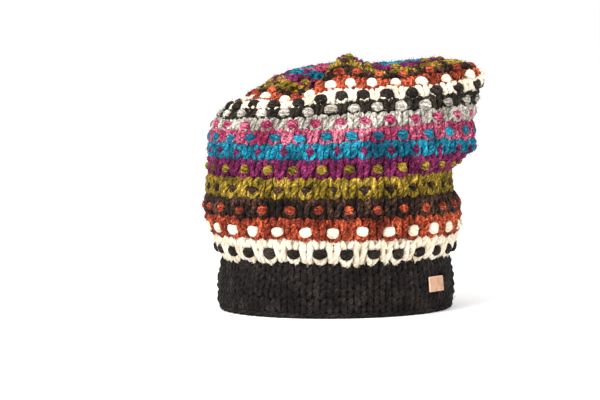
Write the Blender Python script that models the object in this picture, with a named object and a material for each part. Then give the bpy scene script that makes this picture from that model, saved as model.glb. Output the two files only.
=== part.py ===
"""Chunky knitted wool hat, standing on its rim. Metres, +Z up, forehead toward -Y, wearer's left +X."""
import math

import bmesh
import bpy
import numpy as np

# Driving sizes, outside of the knit unless a name says otherwise
RIM_WIDTH = 0.178
RIM_LENGTH = 0.198
CUFF_HEIGHT = 0.042
CUFF_WALL = 0.0070
CUFF_BELLY = 0.0030
EDGE_ROUNDING = 0.0016
BODY_WIDTH = 0.200
BODY_LENGTH = 0.218
CROWN_HEIGHT = 0.162
CROWN_WALL = 0.0060
SEAM_GAP = 0.0003
LABEL_LENGTH = 0.020
LABEL_HEIGHT = 0.012
LABEL_THICKNESS = 0.0014
LABEL_TURN = math.radians(24)

# Middle of the label, as a share of CUFF_HEIGHT
LABEL_MIDDLE = 0.57

# The top of the hat is drawn out to two soft corners, which lie on this line seen from above
CORNER_TURN = math.radians(57)

# Dents and bulges fade out over this share of the knit at the cuff, and this reach at the top
FADE_AT_CUFF = 0.07
FADE_AT_TOP = 0.25

# How fine the solids are
SIDES = 64
CROWN_ROWS = 30
CUFF_SHARES = (0.0, 0.09, 0.28, 0.50, 0.72, 0.90, 1.0)
LABEL_COLUMNS = 6
LABEL_ROWS = 3

# Small step for taking a surface's directions
SURFACE_STEP = 1e-4

# A row for each section of the crown, from the cuff to the closed top.
# along: share of the way over the knit. height: share of CROWN_HEIGHT. body: 0 follows the rim's
# outline, 1 the body's. reach: share of that outline. squeeze: how much wider on the corner line
# and narrower across it. lean: shift on the corner line, as a share of BODY_LENGTH. slope: rise
# on the corner line for each metre toward the back corner.
CROWN_SECTIONS = (
    # along height  body  reach  squeeze  lean    slope
    (0.00,  0.000,  0.00, 0.985, 0.000,   0.000,  0.000),
    (0.07,  0.115,  0.45, 1.010, 0.000,  -0.002,  0.000),
    (0.16,  0.255,  0.90, 1.010, 0.005,  -0.004,  0.005),
    (0.26,  0.395,  1.00, 1.005, 0.020,   0.000,  0.010),
    (0.36,  0.535,  1.00, 0.985, 0.050,   0.007,  0.015),
    (0.46,  0.665,  1.00, 0.945, 0.095,   0.016,  0.030),
    (0.56,  0.785,  1.00, 0.885, 0.150,   0.027,  0.045),
    (0.65,  0.880,  1.00, 0.800, 0.215,   0.037,  0.060),
    (0.73,  0.945,  1.00, 0.690, 0.270,   0.045,  0.065),
    (0.81,  0.980,  1.00, 0.545, 0.290,   0.051,  0.060),
    (0.89,  0.985,  1.00, 0.360, 0.260,   0.055,  0.040),
    (0.95,  0.970,  1.00, 0.180, 0.140,   0.057,  0.020),
    (1.00,  0.960,  1.00, 0.000, 0.000,   0.057,  0.000),
)

# A row for each dent and bulge that the soft knit has taken.
# turn: degrees from the wearer's left toward the back. along: as in the sections. turn_spread and
# along_spread: half widths. inward: share of half BODY_LENGTH, a bulge is negative. drop: share of
# CROWN_HEIGHT, a hump is negative.
CROWN_FOLDS = (
    # turn  along  turn_spread  along_spread  inward   drop
    (-66,   0.77,  14,          0.130,        0.030,   0.105),
    (-36,   0.79,  28,          0.115,       -0.015,  -0.058),
    (-118,  0.76,  40,          0.140,        0.020,   0.060),
    (-5,    0.78,  22,          0.080,        0.030,   0.040),
    (54,    0.64,  15,          0.085,       -0.080,  -0.020),
    (237,   0.30,  38,          0.140,        0.020,   0.000),
    (234,   0.68,  42,          0.150,        0.130,   0.010),
    (56,    0.265, 50,          0.085,        0.125,   0.000),
    (58,    0.385, 36,          0.050,       -0.045,   0.030),
    (-112,  0.655, 34,          0.030,        0.055,  -0.004),
    (14,    0.69,  22,          0.040,        0.040,   0.000),
    (128,   0.50,  30,          0.055,        0.060,   0.000),
    (170,   0.66,  26,          0.060,        0.050,   0.020),
    (196,   0.36,  28,          0.060,        0.035,   0.000),
    (110,   0.80,  20,          0.090,        0.020,   0.055),
    (-95,   0.14,  55,          0.080,       -0.025,   0.000),
    (-15,   0.20,  26,          0.070,       -0.018,   0.000),
)


def between_rows(table, column, along):
    """Smooth curve through one column of a table: cubic pieces whose slopes come from the rows around."""
    places = table[:, 0]
    values = table[:, column]
    slopes = np.gradient(values, places)
    first = np.clip(np.searchsorted(places, along, side="right") - 1, 0, len(places) - 2)
    step = places[first + 1] - places[first]
    t = (along - places[first]) / step
    start = values[first] * (1 + 2 * t) * (1 - t) ** 2
    end = values[first + 1] * t * t * (3 - 2 * t)
    bend = step * t * (1 - t) * (slopes[first] * (1 - t) - slopes[first + 1] * t)
    return start + end + bend


def crown_surface(along, turn):
    """Outer face of the crown: an ellipse for each section, shifted, sloped and squeezed by the
    section table, then pushed in and down by a bell-shaped bump for each row of the fold table."""
    table = np.array(CROWN_SECTIONS)
    height, body, reach, squeeze, lean, slope = (
        between_rows(table, column, along) for column in range(1, table.shape[1])
    )
    corner_side = np.cos(turn - CORNER_TURN)
    stretch = reach * (1 + squeeze * (2 * corner_side**2 - 1))
    inward = np.zeros_like(along + turn)
    drop = np.zeros_like(along + turn)
    for fold_turn, fold_along, turn_spread, along_spread, fold_inward, fold_drop in CROWN_FOLDS:
        away = np.mod(turn - math.radians(fold_turn) + math.pi, 2 * math.pi) - math.pi
        bell = np.exp(-((away / math.radians(turn_spread)) ** 2) - ((along - fold_along) / along_spread) ** 2)
        inward = inward + fold_inward * bell
        drop = drop + fold_drop * bell
    fade = (1 - np.exp(-((along / FADE_AT_CUFF) ** 2))) * (1 - np.exp(-((reach / FADE_AT_TOP) ** 2)))
    inward = inward * fade * BODY_LENGTH / 2
    drop = drop * fade * CROWN_HEIGHT
    half_width = (RIM_WIDTH + (BODY_WIDTH - RIM_WIDTH) * body) / 2 * stretch - inward
    half_length = (RIM_LENGTH + (BODY_LENGTH - RIM_LENGTH) * body) / 2 * stretch - inward
    shift = lean * BODY_LENGTH
    x = half_width * np.cos(turn) + shift * math.cos(CORNER_TURN)
    y = half_length * np.sin(turn) + shift * math.sin(CORNER_TURN)
    rise = slope * stretch * corner_side * BODY_LENGTH / 2
    z = CUFF_HEIGHT + SEAM_GAP + CROWN_HEIGHT * height + rise - drop
    return np.stack([x, y, z], axis=-1)


def cuff_surface(rise, turn):
    """Outer face of the cuff: the rim's ellipse, with a low belly between its rounded lower edge
    and the seam, where it draws in to the crown's first section."""
    share = rise / CUFF_HEIGHT
    draw_in = CROWN_SECTIONS[0][3]
    belly = CUFF_BELLY * np.sin(math.pi * share)
    round_off = EDGE_ROUNDING * (1 - np.clip(rise / (2 * EDGE_ROUNDING), 0, 1)) ** 2
    x = (RIM_WIDTH / 2 * (1 + (draw_in - 1) * share) + belly - round_off) * np.cos(turn)
    y = (RIM_LENGTH / 2 * (1 + (draw_in - 1) * share) + belly - round_off) * np.sin(turn)
    return np.stack([x, y, rise + 0 * x], axis=-1)


def outward(surface, first, turn):
    """Unit normals of a surface of two parameters, from the cross product of its two directions."""
    round_way = surface(first, turn + SURFACE_STEP) - surface(first, turn - SURFACE_STEP)
    up_way = surface(first + SURFACE_STEP, turn) - surface(first - SURFACE_STEP, turn)
    normal = np.cross(round_way, up_way)
    return normal / np.linalg.norm(normal, axis=-1, keepdims=True)


def ring_faces(lower, upper):
    """Quads between two rows of points that run round the hat, from the number of each one's first."""
    here = np.arange(SIDES)
    after = (here + 1) % SIDES
    return np.stack([lower + here, lower + after, upper + after, upper + here], axis=-1).tolist()


def fan_faces(row, pole):
    """Triangles from a row of points round the hat to the one point that closes it."""
    here = np.arange(SIDES)
    return [[row + int(i), row + int((i + 1) % SIDES), pole] for i in here]


def wall_faces(rows):
    """Outer rows, then inner rows turned the other way, then the lower edge that joins them."""
    count = rows * SIDES
    faces = []
    for row in range(0, count - SIDES, SIDES):
        faces += ring_faces(row, row + SIDES)
        faces += ring_faces(count + row + SIDES, count + row)
    return faces + ring_faces(count, 0)


def knit_material(name, colour, roughness):
    """Plain Principled finish of one colour."""
    material = bpy.data.materials.new(name)
    material.use_nodes = True
    shader = material.node_tree.nodes["Principled BSDF"]
    shader.inputs["Base Color"].default_value = (*colour, 1.0)
    shader.inputs["Roughness"].default_value = roughness
    shader.inputs["Metallic"].default_value = 0.0
    material.diffuse_color = (*colour, 1.0)
    return material


def add_piece(name, points, faces, material, centre):
    """One named object with its origin at the hat's own origin, smooth over its round faces."""
    mesh = bpy.data.meshes.new(name)
    mesh.from_pydata((points - centre).tolist(), [], faces)
    shape = bmesh.new()
    shape.from_mesh(mesh)
    bmesh.ops.recalc_face_normals(shape, faces=shape.faces)
    bmesh.ops.triangulate(shape, faces=shape.faces)
    shape.to_mesh(mesh)
    shape.free()
    mesh.shade_smooth()
    mesh.set_sharp_from_angle(angle=math.radians(50))
    mesh.materials.append(material)
    piece = bpy.data.objects.new(name, mesh)
    bpy.context.collection.objects.link(piece)
    return piece


def all_round():
    """Turns of the corners of one row of points, from the wearer's left toward the back."""
    return np.linspace(0, 2 * math.pi, SIDES, endpoint=False)[None, :]


def moved_in(points, depth):
    """Points moved level toward the hat's axis by a depth."""
    level = points * np.array([1, 1, 0])
    return points - level / np.linalg.norm(level, axis=-1, keepdims=True) * depth


def crown_points():
    """Outer rows, inner rows a wall's thickness inside them, and the two ends at the closed top."""
    along = np.linspace(0, 1, CROWN_ROWS + 1)[:-1, None]
    outer = crown_surface(along, all_round())
    inner_along = np.clip(along, SURFACE_STEP, None)
    inner = outer - CROWN_WALL * outward(crown_surface, inner_along, all_round())
    inner[0] = moved_in(outer[0], CUFF_WALL)
    top = crown_surface(np.array([1.0]), np.array([0.0]))
    return outer, inner, top, top - np.array([0, 0, CROWN_WALL])


def cuff_points():
    """Outer and inner rows of the cuff, with its wall narrowed at the flat lower face."""
    outer = cuff_surface(CUFF_HEIGHT * np.array(CUFF_SHARES)[:, None], all_round())
    wall = np.full((len(CUFF_SHARES), 1, 1), CUFF_WALL)
    wall[0] = CUFF_WALL - 2 * EDGE_ROUNDING
    return outer, moved_in(outer, wall)


def make_crown(material, centre):
    """Patterned body of the hat: one hollow bag, open where it meets the cuff."""
    outer, inner, top, inner_top = crown_points()
    count = CROWN_ROWS * SIDES
    faces = wall_faces(CROWN_ROWS)
    faces += fan_faces(count - SIDES, 2 * count)
    faces += fan_faces(2 * count - SIDES, 2 * count + 1)
    points = np.concatenate([outer.reshape(-1, 3), inner.reshape(-1, 3), top, inner_top])
    return add_piece("crown", points, faces, material, centre)


def make_cuff(material, centre):
    """Plain knitted band round the head, with a flat lower face to rest on."""
    outer, inner = cuff_points()
    rows = len(CUFF_SHARES)
    count = rows * SIDES
    faces = wall_faces(rows)
    faces += ring_faces(count - SIDES, 2 * count - SIDES)
    points = np.concatenate([outer.reshape(-1, 3), inner.reshape(-1, 3)])
    return add_piece("cuff", points, faces, material, centre)


def make_label(material, centre):
    """Small blank leather tag, bent to the cuff and held on its outer face."""
    round_per_turn = math.hypot(RIM_WIDTH * math.sin(LABEL_TURN), RIM_LENGTH * math.cos(LABEL_TURN)) / 2
    half_turn = LABEL_LENGTH / 2 / round_per_turn
    turn = LABEL_TURN + np.linspace(-half_turn, half_turn, LABEL_COLUMNS + 1)[None, :]
    across = np.linspace(-0.5, 0.5, LABEL_ROWS + 1)[:, None]
    rise = CUFF_HEIGHT * LABEL_MIDDLE + LABEL_HEIGHT * across
    skin = cuff_surface(rise, turn)
    normal = outward(cuff_surface, rise, turn)
    back = skin + SEAM_GAP * normal
    front = skin + (SEAM_GAP + LABEL_THICKNESS) * normal
    columns = LABEL_COLUMNS + 1
    count = back.shape[0] * columns
    cells = [(r * columns + c) for r in range(LABEL_ROWS) for c in range(LABEL_COLUMNS)]
    faces = [[i + count, i + 1 + count, i + 1 + columns + count, i + columns + count] for i in cells]
    faces += [[i, i + columns, i + 1 + columns, i + 1] for i in cells]
    border = list(range(columns))
    border += [r * columns + LABEL_COLUMNS for r in range(1, LABEL_ROWS + 1)]
    border += [LABEL_ROWS * columns + c for c in range(LABEL_COLUMNS - 1, -1, -1)]
    border += [r * columns for r in range(LABEL_ROWS - 1, 0, -1)]
    faces += [[a, b, b + count, a + count] for a, b in zip(border, border[1:] + border[:1])]
    points = np.concatenate([back.reshape(-1, 3), front.reshape(-1, 3)])
    return add_piece("label", points, faces, material, centre)


def hat_centre():
    """Middle of the whole hat seen from above, which becomes the origin on the ground."""
    every = np.concatenate([crown_points()[0].reshape(-1, 3), cuff_points()[0].reshape(-1, 3)])
    middle = (every.min(axis=0) + every.max(axis=0)) / 2
    return middle * np.array([1, 1, 0])


for old in list(bpy.data.objects):
    bpy.data.objects.remove(old, do_unlink=True)

CENTRE = hat_centre()
make_crown(knit_material("patterned_wool", (0.45, 0.12, 0.10), 0.95), CENTRE)
make_cuff(knit_material("black_wool", (0.012, 0.010, 0.012), 0.95), CENTRE)
make_label(knit_material("tan_leather", (0.62, 0.33, 0.20), 0.55), CENTRE)
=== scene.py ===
import math

import bpy
import numpy as np
from mathutils import Matrix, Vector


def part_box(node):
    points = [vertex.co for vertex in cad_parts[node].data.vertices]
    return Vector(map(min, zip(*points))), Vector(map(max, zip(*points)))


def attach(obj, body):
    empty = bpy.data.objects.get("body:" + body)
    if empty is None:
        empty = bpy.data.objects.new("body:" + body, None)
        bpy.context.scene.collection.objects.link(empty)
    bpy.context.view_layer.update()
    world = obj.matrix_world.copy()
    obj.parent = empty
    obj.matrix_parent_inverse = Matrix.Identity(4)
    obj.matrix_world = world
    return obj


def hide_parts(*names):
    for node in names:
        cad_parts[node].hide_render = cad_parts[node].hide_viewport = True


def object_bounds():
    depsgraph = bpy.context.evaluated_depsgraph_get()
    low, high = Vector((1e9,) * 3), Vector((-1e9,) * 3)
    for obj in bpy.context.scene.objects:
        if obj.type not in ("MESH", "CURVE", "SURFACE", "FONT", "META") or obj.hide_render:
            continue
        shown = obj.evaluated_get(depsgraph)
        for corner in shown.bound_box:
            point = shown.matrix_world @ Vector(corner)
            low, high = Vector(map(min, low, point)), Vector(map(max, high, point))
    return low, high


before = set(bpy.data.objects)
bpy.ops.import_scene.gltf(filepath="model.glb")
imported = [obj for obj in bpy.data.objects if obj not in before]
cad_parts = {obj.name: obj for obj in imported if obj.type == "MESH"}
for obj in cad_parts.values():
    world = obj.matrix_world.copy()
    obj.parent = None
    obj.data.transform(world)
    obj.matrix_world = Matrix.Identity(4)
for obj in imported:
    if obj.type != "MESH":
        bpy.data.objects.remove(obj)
cad_box = [list(corner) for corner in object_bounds()]


# The cuff: a plain band of heavy black wool, knitted first, upward from a cast-on edge that the hat
# rests on. Each course is one yarn that runs round the hat in loops, hung in the course below.

# The faces that the stitches follow are those of the solids, outside of the knit, in metres
RIM_WIDTH = 0.178
RIM_LENGTH = 0.198
CUFF_HEIGHT = 0.042
CUFF_BELLY = 0.0030
EDGE_ROUNDING = 0.0016
BODY_WIDTH = 0.200
BODY_LENGTH = 0.218
CROWN_HEIGHT = 0.162
CORNER_TURN = math.radians(57)
FADE_AT_CUFF = 0.07
FADE_AT_TOP = 0.25
CROWN_SECTIONS = (
    # along height  body  reach  squeeze  lean    slope
    (0.00,  0.000,  0.00, 0.985, 0.000,   0.000,  0.000),
    (0.07,  0.115,  0.45, 1.010, 0.000,  -0.002,  0.000),
    (0.16,  0.255,  0.90, 1.010, 0.005,  -0.004,  0.005),
    (0.26,  0.395,  1.00, 1.005, 0.020,   0.000,  0.010),
    (0.36,  0.535,  1.00, 0.985, 0.050,   0.007,  0.015),
    (0.46,  0.665,  1.00, 0.945, 0.095,   0.016,  0.030),
    (0.56,  0.785,  1.00, 0.885, 0.150,   0.027,  0.045),
    (0.65,  0.880,  1.00, 0.800, 0.215,   0.037,  0.060),
    (0.73,  0.945,  1.00, 0.690, 0.270,   0.045,  0.065),
    (0.81,  0.980,  1.00, 0.545, 0.290,   0.051,  0.060),
    (0.89,  0.985,  1.00, 0.360, 0.260,   0.055,  0.040),
    (0.95,  0.970,  1.00, 0.180, 0.140,   0.057,  0.020),
    (1.00,  0.960,  1.00, 0.000, 0.000,   0.057,  0.000),
)
CROWN_FOLDS = (
    # turn  along  turn_spread  along_spread  inward   drop
    (-66,   0.77,  14,          0.130,        0.030,   0.105),
    (-36,   0.79,  28,          0.115,       -0.015,  -0.058),
    (-118,  0.76,  40,          0.140,        0.020,   0.060),
    (-5,    0.78,  22,          0.080,        0.030,   0.040),
    (54,    0.64,  15,          0.085,       -0.080,  -0.020),
    (237,   0.30,  38,          0.140,        0.020,   0.000),
    (234,   0.68,  42,          0.150,        0.130,   0.010),
    (56,    0.265, 50,          0.085,        0.125,   0.000),
    (58,    0.385, 36,          0.050,       -0.045,   0.030),
    (-112,  0.655, 34,          0.030,        0.055,  -0.004),
    (14,    0.69,  22,          0.040,        0.040,   0.000),
    (128,   0.50,  30,          0.055,        0.060,   0.000),
    (170,   0.66,  26,          0.060,        0.050,   0.020),
    (196,   0.36,  28,          0.060,        0.035,   0.000),
    (110,   0.80,  20,          0.090,        0.020,   0.055),
    (-95,   0.14,  55,          0.080,       -0.025,   0.000),
    (-15,   0.20,  26,          0.070,       -0.018,   0.000),
)
FACE_STEP = 1e-4

# Metres of knit from the cuff to the closed top
CROWN_KNIT = 0.240

# The cuff's solid is even all round, so its middle is the middle of the rim's ellipse
rim_low, rim_high = (np.array(corner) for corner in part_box("cuff"))
HAT_MIDDLE = (rim_low + rim_high) / 2 * np.array([1, 1, 0])

# The cuff's rows: the middle of a course is a share of its height above its lower edge
CUFF_STITCHES = 56
CUFF_COURSES = 6
COURSE_MIDDLE = 0.62
CUFF_YARN = 0.0056
CAST_ON_STRAND = 0.0018
CAST_ON_WIND = 0.0009
CAST_ON_RISE = CAST_ON_STRAND + CAST_ON_WIND
KNOT_TURN = math.radians(31)
KNOT_CLIMB = 0.0300
KNOT_REACH = 0.0019
KNOT_FLATNESS = 0.7
KNOT_YARN = 0.0027

# A stitch is a turn of 2 pi: leans are parts of that turn, reaches are in heights of a course, and the
# unevenness of yarn and skin is in shares of the yarn's radius. Other lengths are in metres
LOOP_POINTS = 12
LEG_LEAN = 1.27
LOOP_REACH = 0.74
LEG_SWING = 0.0020
LONG_REACH = 1.5
LONG_PROUD = 0.0008
YARN_SIDES = 6
PLIES = 3
PLY_PITCH = 0.0062
CM_PER_METRE = 100
UNEVEN_LEAN = 0.25
UNEVEN_LIFT = 0.00070
UNEVEN_YARN = 0.09
UNEVEN_SKIN = 0.07
UNEVEN_LIMIT = 2

# Loose fibres: sizes in metres, their shortest, bend, taper and set outward as shares, steps in the UV
FIBRES_PER_STITCH = 13
FIBRE_LENGTH = 0.0040
FIBRE_THICKNESS = 0.00026
FIBRE_SHORTEST = 0.35
FIBRE_OUTWARD = 0.75
FIBRE_BEND = 0.35
FIBRE_TAPER = 0.8
FIBRE_UV_STEP = 0.37
FIBRE_UV_LENGTH = 0.2

# Wool: scales are per unit of the yarn's UV for streaks, and per metre for patches and specks
STREAK_STRETCH = (1.1, 0.5, 1.0)
STREAK_SCALE = 4.0
PATCH_SCALE = 70.0
PATCH_SHARE = 0.4
SPECK_SCALE = 640.0
SPECK_RANGE = (0.38, 0.62)
DARK_PLACE, MIDDLE_PLACE, LIGHT_PLACE = 0.40, 0.50, 0.60
ONE_STRIPE_PER_UNIT = math.pi / 10
STRIPE_WAVER = 1.5
GROOVE_DEPTH = 0.0007
HAIR_DEPTH = 0.0008
# The last column is the share the colour falls to between the plies: painted shade
CUFF_TONES = (
    # dark                 middle                   light                  fleck groove_painted_shade
    (0.004, 0.003, 0.003), (0.009, 0.0068, 0.0062), (0.026, 0.020, 0.018), 0.50, 0.85,
)

random = np.random.default_rng(11)


def between_rows(table, column, along):
    """Smooth curve through one column of a table: cubic pieces whose slopes come from the rows around."""
    places = table[:, 0]
    values = table[:, column]
    slopes = np.gradient(values, places)
    first = np.clip(np.searchsorted(places, along, side="right") - 1, 0, len(places) - 2)
    step = places[first + 1] - places[first]
    t = (along - places[first]) / step
    start = values[first] * (1 + 2 * t) * (1 - t) ** 2
    end = values[first + 1] * t * t * (3 - 2 * t)
    bend = step * t * (1 - t) * (slopes[first] * (1 - t) - slopes[first + 1] * t)
    return start + end + bend


def crown_face(along, turn):
    """Outer face of the crown: an ellipse for each section, shifted, sloped and squeezed by the
    section table, then pushed in and down by a bell-shaped bump for each row of the fold table."""
    table = np.array(CROWN_SECTIONS)
    height, body, reach, squeeze, lean, slope = (
        between_rows(table, column, along) for column in range(1, table.shape[1])
    )
    corner_side = np.cos(turn - CORNER_TURN)
    stretch = reach * (1 + squeeze * (2 * corner_side**2 - 1))
    inward = np.zeros_like(along + turn)
    drop = np.zeros_like(along + turn)
    for fold_turn, fold_along, turn_spread, along_spread, fold_inward, fold_drop in CROWN_FOLDS:
        away = np.mod(turn - math.radians(fold_turn) + math.pi, 2 * math.pi) - math.pi
        round_share = away / math.radians(turn_spread)
        along_share = (along - fold_along) / along_spread
        bell = np.exp(-(round_share**2) - along_share**2)
        inward = inward + fold_inward * bell
        drop = drop + fold_drop * bell
    fade = (1 - np.exp(-((along / FADE_AT_CUFF) ** 2))) * (1 - np.exp(-((reach / FADE_AT_TOP) ** 2)))
    inward = inward * fade * BODY_LENGTH / 2
    drop = drop * fade * CROWN_HEIGHT
    half_width = (RIM_WIDTH + (BODY_WIDTH - RIM_WIDTH) * body) / 2 * stretch - inward
    half_length = (RIM_LENGTH + (BODY_LENGTH - RIM_LENGTH) * body) / 2 * stretch - inward
    shift = lean * BODY_LENGTH
    x = half_width * np.cos(turn) + shift * math.cos(CORNER_TURN)
    y = half_length * np.sin(turn) + shift * math.sin(CORNER_TURN)
    rise = slope * stretch * corner_side * BODY_LENGTH / 2
    z = CUFF_HEIGHT + CROWN_HEIGHT * height + rise - drop
    return np.stack([x, y, z], axis=-1)


def cuff_face(rise, turn):
    """Outer face of the cuff: the rim's ellipse drawn in evenly toward the crown's first section, with
    a low belly by half a sine, and its lower edge rounded off by a square."""
    share = rise / CUFF_HEIGHT
    draw_in = CROWN_SECTIONS[0][3]
    belly = CUFF_BELLY * np.sin(math.pi * share)
    round_off = EDGE_ROUNDING * (1 - np.clip(rise / (2 * EDGE_ROUNDING), 0, 1)) ** 2
    x = (RIM_WIDTH / 2 * (1 + (draw_in - 1) * share) + belly - round_off) * np.cos(turn)
    y = (RIM_LENGTH / 2 * (1 + (draw_in - 1) * share) + belly - round_off) * np.sin(turn)
    return np.stack([x, y, rise + 0 * x], axis=-1)


def hat_face(climb, turn):
    """Outer face of the whole hat: climb is metres of knit up from the lower edge, and turn goes
    round from the wearer's left toward the back. Up to the seam it is the cuff's face, then the crown's."""
    climb, turn = np.broadcast_arrays(climb, turn)
    along = np.clip((climb - CUFF_HEIGHT) / CROWN_KNIT, 0, 1)
    on_cuff = cuff_face(np.clip(climb, 0, CUFF_HEIGHT), turn)
    return HAT_MIDDLE + np.where(climb[..., None] < CUFF_HEIGHT, on_cuff, crown_face(along, turn))


def unit(vectors):
    """Vectors divided by their lengths."""
    return vectors / np.linalg.norm(vectors, axis=-1, keepdims=True)


def face_frame(climb, turn):
    """Places on the hat's face with three directions: outward, round the hat, and up the knit.
    Outward is square to the steps to both sides and up and down, and up is square to the other two."""
    round_way = unit(hat_face(climb, turn + FACE_STEP) - hat_face(climb, turn - FACE_STEP))
    up_way = hat_face(climb + FACE_STEP, turn) - hat_face(climb - FACE_STEP, turn)
    outward = unit(np.cross(round_way, up_way))
    return hat_face(climb, turn), outward, round_way, np.cross(outward, round_way)


def closed_tube(path, front, radius):
    """Tube round a ring of points: circles square to the path, the first point of each toward the
    front. Its UV holds twists of the plies, which close after the last point, and centimetres along."""
    count = len(path)
    ahead = unit(np.roll(path, -1, axis=0) - np.roll(path, 1, axis=0))
    side = unit(np.cross(front, ahead))
    front = np.cross(ahead, side)
    angle = 2 * math.pi * (np.arange(YARN_SIDES)[None, :, None] + 0.5) / YARN_SIDES
    circles = np.cos(angle) * front[:, None] + np.sin(angle) * side[:, None]
    lumps = np.clip(random.normal(size=(count, YARN_SIDES, 1)), -UNEVEN_LIMIT, UNEVEN_LIMIT)
    points = path[:, None] + radius[:, None, None] * (1 + UNEVEN_SKIN * lumps) * circles
    row = np.arange(count)[:, None]
    place = np.arange(YARN_SIDES)[None, :]
    next_row = (row + 1) % count
    next_place = (place + 1) % YARN_SIDES
    corners = [(row, place), (next_row, place), (next_row, next_place), (row, next_place)]
    quads = np.stack([r * YARN_SIDES + p for r, p in corners], axis=-1).reshape(-1, 4)
    length = np.append(0, np.cumsum(np.linalg.norm(np.roll(path, -1, axis=0) - path, axis=1)))
    twists = round(length[-1] / PLY_PITCH) * length / length[-1]
    steps = [(row, place), (row + 1, place), (row + 1, place + 1), (row, place + 1)]
    twist_uv = np.stack([twists[r] + PLIES * p / YARN_SIDES for r, p in steps], axis=-1)
    length_uv = np.stack([length[r] * CM_PER_METRE + 0 * p for r, p in steps], axis=-1)
    return points.reshape(-1, 3), [quads], [np.stack([twist_uv, length_uv], axis=-1).reshape(-1, 2)]


def loose_fibres(skin, away, count):
    """Short fibres that stand off the wool, each from a random point of its skin: a three-sided sliver
    that sets out away from the yarn and a random way, bends, and tapers to a point. None points down
    where it could reach the floor."""
    chosen = random.integers(len(skin), size=count)
    heading = unit(FIBRE_OUTWARD * away[chosen] + unit(random.normal(size=(count, 3))))
    length = FIBRE_LENGTH * random.uniform(FIBRE_SHORTEST, 1, size=(count, 1))
    bend = FIBRE_BEND * length * unit(random.normal(size=(count, 3)))
    low = skin[chosen, 2] < FIBRE_LENGTH
    for way in (heading, bend):
        way[low, 2] = np.abs(way[low, 2])
    across = unit(np.cross(heading, bend))
    over = np.cross(heading, across)
    root = skin[chosen] - FIBRE_THICKNESS * away[chosen]
    middle = root + length / 2 * heading + bend / 2
    tip = root + length * heading
    angle = 2 * math.pi * np.arange(3)[None, :, None] / 3
    ring = FIBRE_THICKNESS / 2 * (np.cos(angle) * across[:, None] + np.sin(angle) * over[:, None])
    sections = [root[:, None] + ring, middle[:, None] + FIBRE_TAPER * ring, tip[:, None]]
    points = np.concatenate(sections, axis=1)
    points_each = points.shape[1]
    start = points_each * np.arange(count)[:, None, None]
    quads = (start + [[0, 1, 4, 3], [1, 2, 5, 4], [2, 0, 3, 5]]).reshape(-1, 4)
    ends = (start + [[0, 2, 1], [3, 4, 6], [4, 5, 6], [5, 3, 6]]).reshape(-1, 3)
    along = np.array([0.0, 0.0, 0.0, 0.5, 0.5, 0.5, 1.0])
    uvs = []
    for corners in (quads, ends):
        fibre, point = np.divmod(corners, points_each)
        uvs.append(np.stack([fibre * FIBRE_UV_STEP, along[point] * FIBRE_UV_LENGTH], axis=-1).reshape(-1, 2))
    return points.reshape(-1, 3), [quads, ends], uvs


def knit_course(climb, stitches, course_height, long_stitches, thickness):
    """One course of plain knitting. Within a stitch the yarn sways by the sine of twice the turn, so
    that its two legs make a V, rises and falls by the cosine, and goes back by one plus the cosine of
    twice the turn, legs in front. A long stitch reaches higher and its legs stand a little more in
    front. Each stitch is a little uneven."""
    t = 2 * math.pi * np.arange(stitches * LOOP_POINTS) / LOOP_POINTS
    column = t / (2 * math.pi)
    uneven = random.normal(size=(4, stitches))
    lean, lift, proud, fatness = (
        np.interp(column, np.arange(stitches + 1), np.append(values, values[0])) for values in uneven
    )
    long_share = long_stitches[np.rint(column).astype(int) % stitches] * (1 + np.cos(t)) / 2
    reach = LOOP_REACH * course_height
    rise = reach * np.cos(t) + LONG_REACH * course_height * long_share + UNEVEN_LIFT * lift
    turn = (t + LEG_LEAN * np.sin(2 * t) + UNEVEN_LEAN * lean) / stitches
    radius = thickness / 2 * (1 + UNEVEN_YARN * fatness)
    place, outward, _, _ = face_frame(climb + rise, turn)
    swing = LEG_SWING * (1 + np.cos(2 * t))
    depth = thickness / 2 + swing - LONG_PROUD * long_share + UNEVEN_LIFT / 2 * proud
    path = place - depth[:, None] * outward
    yarn = closed_tube(path, outward, radius)
    away = unit(yarn[0].reshape(-1, YARN_SIDES, 3) - path[:, None])
    front = np.flatnonzero(np.sum(away * outward[:, None], axis=-1) > 0)
    fibres = loose_fibres(yarn[0][front], away.reshape(-1, 3)[front], FIBRES_PER_STITCH * stitches)
    return [yarn, fibres]


def cast_on_edge():
    """The edge that the hat rests on: two strands wound round each other, once in two stitches. The
    middle of each strand goes round that of the edge by the cosine outward and by the sine upward. At
    its most uneven a strand's radius is the named one, so that no point lies below the floor."""
    turn = 2 * math.pi * np.arange(CUFF_STITCHES * LOOP_POINTS) / (CUFF_STITCHES * LOOP_POINTS)
    place, outward, _, _ = face_frame(CAST_ON_RISE + 0 * turn, turn)
    outward = unit(outward * [1, 1, 0])
    middle = place - CAST_ON_RISE * outward
    middle[:, 2] = CAST_ON_RISE
    radius = CAST_ON_STRAND / (1 + UNEVEN_LIMIT * UNEVEN_SKIN) + 0 * turn
    strands = []
    for start in (0.0, math.pi):
        wind = (start + turn * CUFF_STITCHES / 2)[:, None]
        path = middle + CAST_ON_WIND * (np.cos(wind) * outward + np.sin(wind) * [0, 0, 1])
        strands.append(closed_tube(path, outward, radius))
    return strands


def yarn_end():
    """End of the black yarn, knotted beside the tag: a small ring of yarn that stands on its edge, at
    the cosine outward and a share of the sine up the knit."""
    around = 2 * math.pi * np.arange(LOOP_POINTS) / LOOP_POINTS
    place, outward, round_way, up_way = face_frame(np.array([KNOT_CLIMB]), np.array([KNOT_TURN]))
    middle = place + (KNOT_REACH - KNOT_YARN / 2) * outward
    reach = KNOT_REACH * np.stack([np.cos(around), KNOT_FLATNESS * np.sin(around)], axis=-1)
    path = middle + reach[:, :1] * outward + reach[:, 1:] * up_way
    return closed_tube(path, np.broadcast_to(round_way, path.shape), KNOT_YARN / 2 + 0 * around)


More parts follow.
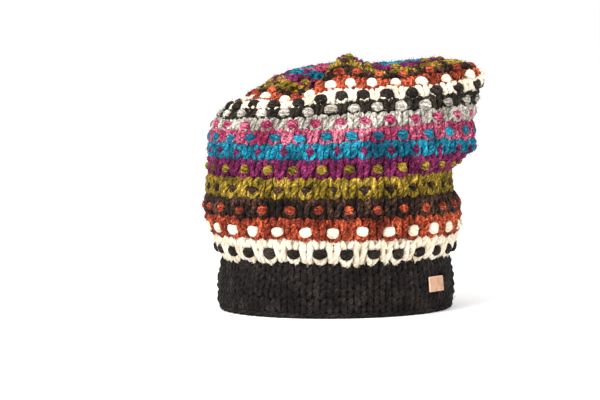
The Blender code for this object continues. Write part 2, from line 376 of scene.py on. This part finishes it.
def add_piece(name, lots, material):
    """One object from lots of points, faces and corner UVs, with smooth faces, riding on the hat."""
    faces = []
    start = 0
    for points, lot_faces, _ in lots:
        for some in lot_faces:
            faces += (some + start).tolist()
        start += len(points)
    mesh = bpy.data.meshes.new(name)
    mesh.from_pydata(np.concatenate([points for points, _, _ in lots]).tolist(), [], faces)
    corners = np.concatenate([some for _, _, lot_uvs in lots for some in lot_uvs])
    mesh.uv_layers.new(name="yarn").data.foreach_set("uv", corners.astype(np.float32).ravel())
    mesh.shade_smooth()
    mesh.materials.append(material)
    piece = bpy.data.objects.new(name, mesh)
    bpy.context.scene.collection.objects.link(piece)
    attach(piece, "root")
    return piece


def new_material(name):
    """A material with its node tree and its shader."""
    material = bpy.data.materials.new(name)
    material.use_nodes = True
    return material, material.node_tree, material.node_tree.nodes["Principled BSDF"]


def set_inputs(tree, node, inputs):
    """Gives each named input of a node a value, or a link where another node's output is given."""
    for name, value in inputs.items():
        if isinstance(value, bpy.types.NodeSocket):
            tree.links.new(value, node.inputs[name])
        else:
            node.inputs[name].default_value = value


def add_node(tree, kind, inputs, **settings):
    """One more node in a material, with its settings and then its inputs."""
    node = tree.nodes.new(kind)
    for name, value in settings.items():
        setattr(node, name, value)
    set_inputs(tree, node, inputs)
    return node


def tone_ramp(tree, share, stops):
    """Colour that runs through the stops, each a place from 0 to 1 and a colour, as the share grows."""
    node = add_node(tree, "ShaderNodeValToRGB", {"Fac": share})
    ramp = node.color_ramp.elements
    ramp[0].position = stops[0][0]
    ramp[1].position = stops[-1][0]
    for place, _ in stops[1:-1]:
        ramp.new(place)
    for element, (_, colour) in zip(ramp, stops):
        element.color = (*colour, 1.0)
    return node.outputs["Color"]


def wool_relief(tree, shader, sheen_tint):
    """Surface of heavy soft-spun wool: matt with a faint sheen, sunk in the grooves between the plies by
    a wave across their twist, and hairy by a fine noise. Gives the wave and the noise for its colour."""
    yarn_uv = add_node(tree, "ShaderNodeUVMap", {}, uv_map="yarn").outputs["UV"]
    where = add_node(tree, "ShaderNodeTexCoord", {}).outputs["Object"]
    stripes = {
        "Vector": yarn_uv, "Scale": ONE_STRIPE_PER_UNIT, "Distortion": STRIPE_WAVER, "Detail Scale": 2.0,
    }
    plies = add_node(tree, "ShaderNodeTexWave", stripes, bands_direction="X").outputs["Fac"]
    fine = {"Vector": where, "Scale": SPECK_SCALE, "Detail": 1.0}
    specks = add_node(tree, "ShaderNodeTexNoise", fine).outputs["Fac"]
    sunk = {"Strength": 0.8, "Distance": GROOVE_DEPTH, "Height": plies}
    grooved = add_node(tree, "ShaderNodeBump", sunk).outputs["Normal"]
    raised = {"Strength": 0.6, "Distance": HAIR_DEPTH, "Height": specks, "Normal": grooved}
    set_inputs(tree, shader, {
        "Roughness": 0.92,
        "Specular IOR Level": 0.15,
        "Sheen Weight": 0.2,
        "Sheen Roughness": 0.45,
        "Sheen Tint": (*sheen_tint, 1.0),
        "Normal": add_node(tree, "ShaderNodeBump", raised).outputs["Normal"],
    })
    return plies, specks


def wool(name, dark, middle, light, fleck, groove_painted_shade):
    """Heavy soft-spun wool: fibre streaks along the plies and slow patches along the yarn choose between
    three tones, and fine specks make them lighter and darker by the fleck's share. Painted shade darkens
    them toward the share given for it in the hollows between the plies."""
    material, tree, shader = new_material(name)
    plies, specks = wool_relief(tree, shader, light)
    yarn_uv = add_node(tree, "ShaderNodeUVMap", {}, uv_map="yarn").outputs["UV"]
    where = add_node(tree, "ShaderNodeTexCoord", {}).outputs["Object"]
    stretched = add_node(tree, "ShaderNodeMapping", {"Vector": yarn_uv, "Scale": STREAK_STRETCH})
    fibrous = {
        "Vector": stretched.outputs["Vector"], "Scale": STREAK_SCALE, "Detail": 4.0, "Roughness": 0.65,
    }
    streaks = add_node(tree, "ShaderNodeTexNoise", fibrous).outputs["Fac"]
    slow = {"Vector": where, "Scale": PATCH_SCALE, "Detail": 2.0}
    patches = add_node(tree, "ShaderNodeTexNoise", slow).outputs["Fac"]
    both = add_node(tree, "ShaderNodeMix", {"Factor": PATCH_SHARE, "A": streaks, "B": patches})
    stops = ((DARK_PLACE, dark), (MIDDLE_PLACE, middle), (LIGHT_PLACE, light))
    tones = tone_ramp(tree, both.outputs["Result"], stops)
    # Painted shade: between the plies the colour falls toward the given share
    grooves = add_node(tree, "ShaderNodeMapRange", {"Value": plies, "To Min": groove_painted_shade, "To Max": 1.0})
    low_speck, high_speck = SPECK_RANGE
    flecks = add_node(tree, "ShaderNodeMapRange", {
        "Value": specks,
        "From Min": low_speck,
        "From Max": high_speck,
        "To Min": 1 - fleck,
        "To Max": 1 + fleck,
    })
    # Product of the painted shade between the plies and the random flecks
    shares = {0: grooves.outputs["Result"], 1: flecks.outputs["Result"]}
    shade = add_node(tree, "ShaderNodeMath", shares, operation="MULTIPLY").outputs["Value"]
    shaded = add_node(tree, "ShaderNodeVectorMath", {0: tones}, operation="SCALE")
    set_inputs(tree, shaded, {"Scale": shade})
    set_inputs(tree, shader, {"Base Color": shaded.outputs["Vector"]})
    return material


cuff_course = (CUFF_HEIGHT - CAST_ON_RISE) / CUFF_COURSES
no_long_stitches = np.zeros(CUFF_STITCHES)
cuff_lots = cast_on_edge()
for course in range(CUFF_COURSES):
    middle_climb = CAST_ON_RISE + cuff_course * (course + COURSE_MIDDLE)
    cuff_lots += knit_course(middle_climb, CUFF_STITCHES, cuff_course, no_long_stitches, CUFF_YARN)
cuff_lots.append(yarn_end())
cuff_knit = add_piece("cuff_knit", cuff_lots, wool("black_cuff_wool", *CUFF_TONES))
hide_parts("cuff")


# The patterned crown: bands of coloured wool, each of two courses of plain knitting with a course of
# raised spots between them, in the yarn of the band below. Where a spot isn't, the stitch of the lower
# course is slipped past it, twice as tall. Fewer stitches go round each band toward the closed top.
BANDS = (
    # yarn      spots      height_mm yarn_mm stitches long_mm high_mm proud_mm
    ("cream",   "black",   17.2,     5.2,    56,      11.0,   9.2,     2.2),
    ("rust",    "cream",   17.2,     5.2,    56,      10.6,   9.0,     1.4),
    ("brown",   "rust",    17.2,     5.2,    56,      8.4,    7.6,     1.3),
    ("olive",   "brown",   17.2,     5.2,    56,      8.6,    7.4,     0.0),
    ("purple",  "olive",   16.4,     5.2,    56,      9.0,    7.8,     1.1),
    ("blue",    "purple",  13.8,     5.5,    56,      6.8,    9.4,     0.3),
    ("pink",    "blue",    13.6,     5.0,    56,      10.0,   8.4,     1.1),
    ("grey",    "pink",    13.4,     5.0,    56,      10.4,   8.6,     1.0),
    ("black",   "grey",    12.6,     4.7,    56,      10.8,   8.4,     1.5),
    ("cream",   "black",   12.8,     4.7,    54,      10.8,   8.8,     2.2),
    ("rust",    "cream",   12.6,     4.7,    50,      10.2,   8.6,     1.5),
    ("brown",   "rust",    12.6,     4.7,    46,      9.0,    7.8,     1.3),
    ("olive",   "brown",   12.6,     4.7,    40,      8.0,    7.0,     0.4),
    ("purple",  "olive",   12.4,     4.7,    34,      8.8,    7.6,     1.2),
    ("blue",    "purple",  12.0,     4.7,    26,      6.8,    8.2,     0.4),
    ("pink",    "blue",    11.4,     4.6,    18,      8.8,    7.6,     1.1),
    ("grey",    "pink",    10.4,     4.4,    10,      8.8,    7.6,     1.1),
)
COURSES_PER_BAND = 3

# Rises of the spots and of the upper course above the lower one, in heights of a course
SPOT_RISE = 0.72
UPPER_RISE = 1.85
SPOT_THICKNESS = 0.0068
SPOT_SIDES = 10
SPOT_RINGS = 5
SPOT_FULLNESS = 2.5
SPOT_SQUARENESS = 2.6
SPOT_LOBES = 0.05
SPOT_PLIES = 6
SPOT_DROOP = 0.0012
SPOT_TWIST = 0.016
SPOT_TILT = math.radians(8)
SPOT_UV_SPREAD = 9
UNEVEN_SPOT = 0.08
UNEVEN_PLACE = 0.0004
FIBRES_PER_SPOT = 12
CLOSING_REACH = 0.0052
CLOSING_SWELL = 0.15
# The last column is the share the colour falls to between the plies: painted shade
YARN_TONES = {
    # yarn     dark                   middle                 light                  fleck groove_painted_shade
    "cream":  ((0.660, 0.520, 0.360), (0.840, 0.730, 0.570), (0.930, 0.860, 0.730), 0.06, 0.75),
    "rust":   ((0.070, 0.008, 0.005), (0.260, 0.035, 0.014), (0.690, 0.135, 0.055), 0.60, 0.60),
    "brown":  ((0.005, 0.003, 0.002), (0.014, 0.008, 0.006), (0.105, 0.045, 0.028), 0.65, 0.65),
    "olive":  ((0.045, 0.027, 0.003), (0.190, 0.122, 0.008), (0.500, 0.335, 0.050), 0.50, 0.45),
    "purple": ((0.028, 0.002, 0.014), (0.110, 0.008, 0.048), (0.270, 0.031, 0.115), 0.60, 0.65),
    "blue":   ((0.002, 0.032, 0.063), (0.003, 0.105, 0.170), (0.020, 0.310, 0.440), 0.45, 0.62),
    "pink":   ((0.170, 0.005, 0.040), (0.300, 0.028, 0.083), (0.650, 0.210, 0.280), 0.60, 0.65),
    "grey":   ((0.160, 0.140, 0.115), (0.410, 0.375, 0.320), (0.690, 0.640, 0.560), 0.40, 0.55),
    "black":  ((0.006, 0.004, 0.003), (0.014, 0.010, 0.007), (0.042, 0.032, 0.023), 0.60, 0.70),
}

# Shares of a spot's half length at its first end, its rings and its last end, closer toward the ends
ring_shares = np.sin(np.linspace(-math.pi / 2, math.pi / 2, SPOT_RINGS + 2))


def spot_faces(long):
    """Faces of one spot as point numbers, and their UVs: quads between the rings and a fan at each end.
    A corner is a ring and a side. The one point of an end lies half a side further in its fans' UVs,
    which hold twists of the plies and centimetres along."""
    side = np.arange(SPOT_SIDES)
    ring = np.arange(1, SPOT_RINGS)[:, None]
    last = SPOT_RINGS + 1
    outlines = (
        ((ring, side), (ring + 1, side), (ring + 1, side + 1), (ring, side + 1)),
        ((0, side + 0.5), (1, side), (1, side + 1)),
        ((last, side + 0.5), (last - 1, side + 1), (last - 1, side)),
    )
    last_point = 1 + SPOT_RINGS * SPOT_SIDES
    faces = []
    uvs = []
    for outline in outlines:
        numbers = []
        twists = []
        lengths = []
        for r, s in outline:
            number = 1 + (r - 1) * SPOT_SIDES + s % SPOT_SIDES
            numbers.append(np.clip(number, 0, last_point))
            length = long / 2 * ring_shares[r] + 0 * s
            twists.append(length / SPOT_TWIST + SPOT_PLIES * s / SPOT_SIDES)
            lengths.append(CM_PER_METRE * length)
        faces.append(np.stack(numbers, axis=-1).astype(int).reshape(-1, len(outline)))
        uvs.append(np.stack([np.stack(twists, axis=-1), np.stack(lengths, axis=-1)], axis=-1))
    return faces, [each.reshape(-1, len(outline), 2) for each, outline in zip(uvs, outlines)]


def spots(climb, turns, long, high, proud):
    """Spots, one at each turn: a flat pillow that lies along the row, a rounded rectangle in outline by
    a power above 2, with shallow lobes winding along it, one for two plies, and ends that droop into the
    knit. It is as long and high as given, and its middle stands proud of the hat's face."""
    count = len(turns)
    place, outward, round_way, up_way = (v[:, None, None] for v in face_frame(climb + 0 * turns, turns))
    tilt = SPOT_TILT * random.normal(size=(count, 1, 1, 1))
    lying = np.cos(tilt) * round_way + np.sin(tilt) * up_way
    standing = np.cos(tilt) * up_way - np.sin(tilt) * round_way
    longer, higher = 1 + UNEVEN_SPOT * random.normal(size=(2, count, 1, 1, 1))
    aside, above = UNEVEN_PLACE * random.normal(size=(2, count, 1, 1, 1))
    reach = ring_shares[None, :, None, None]
    angle = 2 * math.pi * np.arange(SPOT_SIDES)[None, None, :, None] / SPOT_SIDES
    full = (1 - np.abs(reach) ** SPOT_FULLNESS) ** (1 / SPOT_FULLNESS)
    full = full * (1 + SPOT_LOBES * np.cos(SPOT_PLIES / 2 * angle + 2 * reach))
    up, out = (
        full * np.sign(way) * np.abs(way) ** (2 / SPOT_SQUARENESS) for way in (np.sin(angle), np.cos(angle))
    )
    rise = SPOT_THICKNESS / 2 * (out - 1) + proud - SPOT_DROOP * reach**2
    lumps = UNEVEN_SKIN / 2 * SPOT_THICKNESS / 2 * random.normal(size=rise.shape)
    grid = place + (aside + long / 2 * longer * reach) * lying
    grid = grid + (above + high / 2 * higher * up) * standing + (rise + lumps) * outward
    first_end, last_end = grid[:, :1, 0], grid[:, -1:, 0]
    points = np.concatenate([first_end, grid[:, 1:-1].reshape(count, -1, 3), last_end], axis=1)

    faces, uvs = spot_faces(long)
    starts = points.shape[1] * np.arange(count)[:, None, None]
    own_place = random.uniform(0, SPOT_UV_SPREAD, size=(count, 1, 1, 1))
    faces = [(each + starts).reshape(-1, each.shape[1]) for each in faces]
    uvs = [(each + own_place).reshape(-1, 2) for each in uvs]
    away = unit(points - (place - SPOT_THICKNESS / 2 * outward)[:, :, 0])
    front = np.flatnonzero(np.sum(away * outward[:, :, 0], axis=-1) > 0)
    skin = points.reshape(-1, 3)
    fibres = loose_fibres(skin[front], away.reshape(-1, 3)[front], FIBRES_PER_SPOT * count)
    return [(skin, faces, uvs), fibres]


def closing_ring():
    """Tail of the last yarn, drawn through the last stitches: a ring at the closed top that swells
    between those stitches by the cosine."""
    last_yarn, stitches = BANDS[-1][3] / 1000, BANDS[-1][4]
    turn = 2 * math.pi * np.arange(stitches * LOOP_POINTS // 2) / (stitches * LOOP_POINTS // 2)
    place, outward, _, _ = face_frame(CUFF_HEIGHT + CROWN_KNIT - CLOSING_REACH + 0 * turn, turn)
    radius = last_yarn / 2 * (1 - CLOSING_SWELL + CLOSING_SWELL * np.cos(stitches * turn))
    return closed_tube(place - last_yarn / 2 * outward, outward, radius)


yarn_lots = {yarn: [] for yarn in YARN_TONES}
band_climb = CUFF_HEIGHT
band_edges = [band_climb]
for band, (yarn, spot_yarn, height_mm, yarn_mm, stitches, *spot_mm) in enumerate(BANDS):
    course = height_mm / 1000 / COURSES_PER_BAND
    spotted = (np.arange(stitches) + band) % 2 == 0
    lower = band_climb + course * COURSE_MIDDLE
    upper = lower + course * UPPER_RISE
    yarn_lots[yarn] += knit_course(lower, stitches, course, 1.0 - spotted, yarn_mm / 1000)
    yarn_lots[yarn] += knit_course(upper, stitches, course, np.zeros(stitches), yarn_mm / 1000)
    spot_turns = 2 * math.pi * np.flatnonzero(spotted) / stitches
    spot_sizes = [size_mm / 1000 for size_mm in spot_mm]
    yarn_lots[spot_yarn] += spots(lower + SPOT_RISE * course, spot_turns, *spot_sizes)
    band_climb += COURSES_PER_BAND * course
    band_edges.append(band_climb)
yarn_lots[yarn].append(closing_ring())
for yarn, tones in YARN_TONES.items():
    crown_yarn = add_piece(f"crown_{yarn}", yarn_lots[yarn], wool(f"{yarn}_wool", *tones))
    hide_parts("crown")


# The back of the knit, seen from below and through the gaps between stitches: the same yarns as rows of
# half-round bumps, felted together. It goes from the cast-on edge to the closed top.
BACK_COLUMNS = 168
BACK_ROWS = 110
BACK_START = 0.0022
BACK_DEPTH = 0.0040
BACK_THICKNESS = 0.0016
BACK_SWELL = 0.0010
# Share of the yarn's tone kept on the back's outer face, deep in the gaps: painted shade
GAP_SHADE = 0.45
BAND_OVERLAP = 0.0006

# Height of the back's courses at the edge, the seam, the end of the first four bands, and the top
BACK_COURSES = (0.0066, 0.0057, 0.0050, 0.0040)
BACK_COURSE_PLACES = (0, CUFF_HEIGHT, band_edges[4], band_edges[-1])


def knit_back():
    """Closed shell: an outer face behind the loops, and an inner face with a bump for each stitch, by
    the product of a cosine up the courses and one round the columns."""
    turn = 2 * math.pi * np.arange(BACK_COLUMNS)[None, :] / BACK_COLUMNS
    climb = np.linspace(BACK_START, CUFF_HEIGHT + CROWN_KNIT, BACK_ROWS + 1)[:-1, None]
    course = np.interp(climb, BACK_COURSE_PLACES, BACK_COURSES)
    place, outward, _, _ = face_frame(climb, turn)
    bump = 0.5 + 0.5 * np.cos(2 * math.pi * climb / course) * np.cos(turn * CUFF_STITCHES)
    outer = place - BACK_DEPTH * outward
    inner = outer - (BACK_THICKNESS + BACK_SWELL * bump)[..., None] * outward
    top = hat_face(np.array([CUFF_HEIGHT + CROWN_KNIT]), np.array([0.0])) - [0, 0, BACK_DEPTH]
    points = np.concatenate([outer.reshape(-1, 3), inner.reshape(-1, 3), top, top - [0, 0, BACK_THICKNESS]])
    count = BACK_ROWS * BACK_COLUMNS
    here = np.arange(BACK_COLUMNS)
    after = (here + 1) % BACK_COLUMNS
    row = (BACK_COLUMNS * np.arange(BACK_ROWS - 1))[:, None]
    upper_row = row + BACK_COLUMNS
    out_corners = [row + here, row + after, upper_row + after, upper_row + here]
    out_quads = np.stack(out_corners, axis=-1).reshape(-1, 4)
    in_quads = count + out_quads[:, ::-1]
    edge = np.stack([count + here, count + after, after, here], axis=-1)
    last = count - BACK_COLUMNS
    out_fan = np.stack([last + here, last + after, 0 * here + 2 * count], axis=-1)
    in_fan = np.stack([count + last + after, count + last + here, 0 * here + 2 * count + 1], axis=-1)
    faces = [out_quads, in_quads, edge, out_fan, in_fan]
    flat = points[:, [0, 2]] * CM_PER_METRE
    return points, faces, [flat[each].reshape(-1, 2) for each in faces]


def back_colours_and_painted_shade(points):
    """Colour of each point of the shell: the middle tone of its band's yarn, darkened by painted shade on
    the outer face, which lies deep in the gaps."""
    rows = np.linspace(BACK_START, CUFF_HEIGHT + CROWN_KNIT, BACK_ROWS + 1)[:-1]
    climbs = np.concatenate([np.repeat(rows, BACK_COLUMNS)] * 2 + [[rows[-1]] * 2])
    tones = np.array([YARN_TONES["black"][1]] + [YARN_TONES[row[0]][1] for row in BANDS])
    band = np.searchsorted(band_edges[:-1], climbs + BAND_OVERLAP)
    # Painted shade: the points of the outer face keep only the gap share of their yarn's tone
    shade = np.where(np.arange(len(points)) < BACK_ROWS * BACK_COLUMNS, GAP_SHADE, 1.0)[:, None]
    return np.append(tones[band] * shade, np.ones((len(points), 1)), axis=1)


inside_wool, tree, shader = new_material("inside_wool")
wool_relief(tree, shader, YARN_TONES["black"][2])
# Base colour from the point colours: the bands' yarn tones with painted shade on the outer face
band_colour_and_painted_shade = add_node(tree, "ShaderNodeVertexColor", {}, layer_name="yarn_colour_and_painted_shade")
set_inputs(tree, shader, {"Base Color": band_colour_and_painted_shade.outputs["Color"]})
back = knit_back()
knit_inside = add_piece("knit_inside", [back], inside_wool)
yarn_colour_and_painted_shade = knit_inside.data.color_attributes.new("yarn_colour_and_painted_shade", "FLOAT_COLOR", "POINT")
yarn_colour_and_painted_shade.data.foreach_set("color", back_colours_and_painted_shade(back[0]).ravel())


# The tag: a small blank piece of smooth tan leather with a paler raw edge, skived thin at its edges and
# sewn flat on the cuff at the wearer's left back, beside the knot of the yarn's end.
TAG_LENGTH = 0.020
TAG_HEIGHT = 0.012
TAG_THICKNESS = 0.0014
TAG_TURN = math.radians(24)
TAG_CLIMB = CUFF_HEIGHT * 0.57
TAG_CORNER = 0.0007
TAG_GAP = 0.0003
TAG_POINTS = 64
TAG_PROFILE = (
    # share  depth  raw_edge
    (0.30,   1.00,  0.0),
    (0.60,   1.00,  0.0),
    (0.86,   1.00,  0.0),
    (0.94,   0.98,  0.2),
    (0.98,   0.88,  0.9),
    (1.00,   0.64,  1.0),
    (1.00,   0.36,  1.0),
    (0.98,   0.14,  1.0),
    (0.94,   0.03,  0.6),
    (0.60,   0.00,  0.0),
)
TAN_STOPS = ((0.3, (0.38, 0.175, 0.085)), (0.7, (0.48, 0.300, 0.195)))
RAW_EDGE_COLOUR = (0.74, 0.52, 0.385, 1.0)
CLOUD_SCALE = 160.0
PORE_SCALE = 1800.0
PORE_DEPTH = 0.0002


def tag_slab():
    """Closed slab: its outline is a rectangle with rounded corners, each edge point the corner circle's
    centre plus a radius, and the rows of its profile are shares of that outline at a depth."""
    angle = 2 * math.pi * (np.arange(TAG_POINTS) + 0.5) / TAG_POINTS
    corner_x = (TAG_LENGTH / 2 - TAG_CORNER) * np.sign(np.cos(angle))
    corner_y = (TAG_HEIGHT / 2 - TAG_CORNER) * np.sign(np.sin(angle))
    x = corner_x + TAG_CORNER * np.cos(angle)
    y = corner_y + TAG_CORNER * np.sin(angle)
    share, depth = np.array(TAG_PROFILE).T[:2, :, None]
    share = np.concatenate([[[0.0]], share, [[0.0]]])
    depth = np.concatenate([[[1.0]], depth, [[0.0]]])
    round_per_turn = math.hypot(RIM_WIDTH * math.sin(TAG_TURN), RIM_LENGTH * math.cos(TAG_TURN)) / 2
    place, outward, _, _ = face_frame(TAG_CLIMB + share * y, TAG_TURN + share * x / round_per_turn)
    grid = place + (TAG_GAP + TAG_THICKNESS * depth)[..., None] * outward
    points = np.concatenate([grid[0, :1], grid[1:-1].reshape(-1, 3), grid[-1, :1]])
    rows = len(TAG_PROFILE)
    here = np.arange(TAG_POINTS)
    after = (here + 1) % TAG_POINTS
    row = (1 + TAG_POINTS * np.arange(rows - 1))[:, None]
    below = row + TAG_POINTS
    sides = np.stack([row + here, below + here, below + after, row + after], axis=-1).reshape(-1, 4)
    front = np.stack([0 * here, 1 + here, 1 + after], axis=-1)
    last = 1 + TAG_POINTS * (rows - 1)
    back = np.stack([0 * here + last + TAG_POINTS, last + after, last + here], axis=-1)
    faces = [sides, front, back]
    flat = np.concatenate([[[0, 0]], np.stack([share * x, share * y], -1)[1:-1].reshape(-1, 2), [[0, 0]]])
    return points, faces, [flat[each].reshape(-1, 2) * CM_PER_METRE for each in faces]


def tan_leather():
    """Smooth matt leather: soft clouds of two tans, fine pores in relief, and a paler raw edge where the
    piece's attribute says so."""
    material, tree, shader = new_material("tan_leather")
    where = add_node(tree, "ShaderNodeTexCoord", {}).outputs["Object"]
    clouds = add_node(tree, "ShaderNodeTexNoise", {"Vector": where, "Scale": CLOUD_SCALE, "Detail": 5.0})
    tan = tone_ramp(tree, clouds.outputs["Fac"], TAN_STOPS)
    raw_edge = add_node(tree, "ShaderNodeAttribute", {}, attribute_name="raw_edge").outputs["Fac"]
    skin = {"Factor": raw_edge, "A": tan, "B": RAW_EDGE_COLOUR}
    grain = add_node(tree, "ShaderNodeTexVoronoi", {"Vector": where, "Scale": PORE_SCALE})
    pores = {"Strength": 0.25, "Distance": PORE_DEPTH, "Height": grain.outputs["Distance"]}
    set_inputs(tree, shader, {
        "Base Color": add_node(tree, "ShaderNodeMix", skin, data_type="RGBA").outputs["Result"],
        "Roughness": 0.6,
        "Normal": add_node(tree, "ShaderNodeBump", pores).outputs["Normal"],
    })
    return material


leather_tag = add_piece("leather_tag", [tag_slab()], tan_leather())
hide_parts("label")
tag_edge = np.concatenate([[0.0], np.repeat([row[2] for row in TAG_PROFILE], TAG_POINTS), [0.0]])
leather_tag.data.attributes.new("raw_edge", "FLOAT", "POINT").data.foreach_set("value", tag_edge)


# The studio: a pale seamless floor, a white surround, one large soft lamp high at the camera's left
# and a weaker one at its right.
CAMERA_TURN = math.radians(57)
CAMERA_RISE = math.radians(4)
CAMERA_DISTANCE = 2.4
SENSOR_WIDTH = 36
PIXELS_PER_METRE = 1215
IMAGE_WIDTH = 600
SHIFT_RIGHT = 0.030
SHIFT_UP = -0.016
FLOOR_SIZE = 200.0
FLOOR_COLOUR = (0.96, 0.96, 0.96, 1.0)
SURROUND_STRENGTH = 1.04
HAT_HEIGHT = cad_box[1][2]
LAMPS = (
    # name         turn  rise  distance size  watts
    ("key_lamp",   18,   48,   1.6,     1.0,  34),
    ("fill_lamp",  110,  30,   1.8,     1.4,  12),
)


def toward_camera(turn, rise):
    """Direction from the hat to a place at this turn and rise, where turn 0 is in front of the hat."""
    return np.array([math.sin(turn) * math.cos(rise), -math.cos(turn) * math.cos(rise), math.sin(rise)])


def aim(holder, place, target):
    """Puts a camera or lamp at a place with its -Z axis at the target and its Y axis upward."""
    back = unit(np.array(place) - np.array(target))
    right = unit(np.cross([0, 0, 1], back))
    up = np.cross(back, right)
    matrix = np.eye(4)
    matrix[:3, :4] = np.stack([right, up, back, place], axis=1)
    holder.matrix_world = Matrix(matrix.tolist())


camera_right = np.array([math.cos(CAMERA_TURN), math.sin(CAMERA_TURN), 0.0])
hat_middle = np.array([0.0, 0.0, HAT_HEIGHT / 2])
target = hat_middle - SHIFT_RIGHT * camera_right + [0, 0, SHIFT_UP]
camera = bpy.data.objects.new("camera", bpy.data.cameras.new("camera"))
camera.data.sensor_width = SENSOR_WIDTH
camera.data.lens = SENSOR_WIDTH * CAMERA_DISTANCE * PIXELS_PER_METRE / IMAGE_WIDTH
bpy.context.scene.collection.objects.link(camera)
aim(camera, target + CAMERA_DISTANCE * toward_camera(CAMERA_TURN, CAMERA_RISE), target)
bpy.context.scene.camera = camera

for name, lamp_turn, lamp_rise, distance, size, watts in LAMPS:
    lamp = bpy.data.objects.new(name, bpy.data.lights.new(name, "AREA"))
    lamp.data.size = size
    lamp.data.energy = watts
    bpy.context.scene.collection.objects.link(lamp)
    lamp_way = toward_camera(math.radians(lamp_turn), math.radians(lamp_rise))
    aim(lamp, hat_middle + distance * lamp_way, hat_middle)

half = FLOOR_SIZE / 2
floor_corners = [(-half, -half, 0), (half, -half, 0), (half, half, 0), (-half, half, 0)]
floor_mesh = bpy.data.meshes.new("floor")
floor_mesh.from_pydata(floor_corners, [], [(0, 1, 2, 3)])
floor = bpy.data.objects.new("floor", floor_mesh)
bpy.context.scene.collection.objects.link(floor)
white_paper, tree, shader = new_material("white_paper")
set_inputs(tree, shader, {"Base Color": FLOOR_COLOUR, "Roughness": 0.9})
floor_mesh.materials.append(white_paper)

surround = bpy.data.worlds.new("surround")
surround.use_nodes = True
white_light = {"Color": (1.0, 1.0, 1.0, 1.0), "Strength": SURROUND_STRENGTH}
set_inputs(surround.node_tree, surround.node_tree.nodes["Background"], white_light)
bpy.context.scene.world = surround
bpy.context.scene.view_settings.view_transform = "Standard"
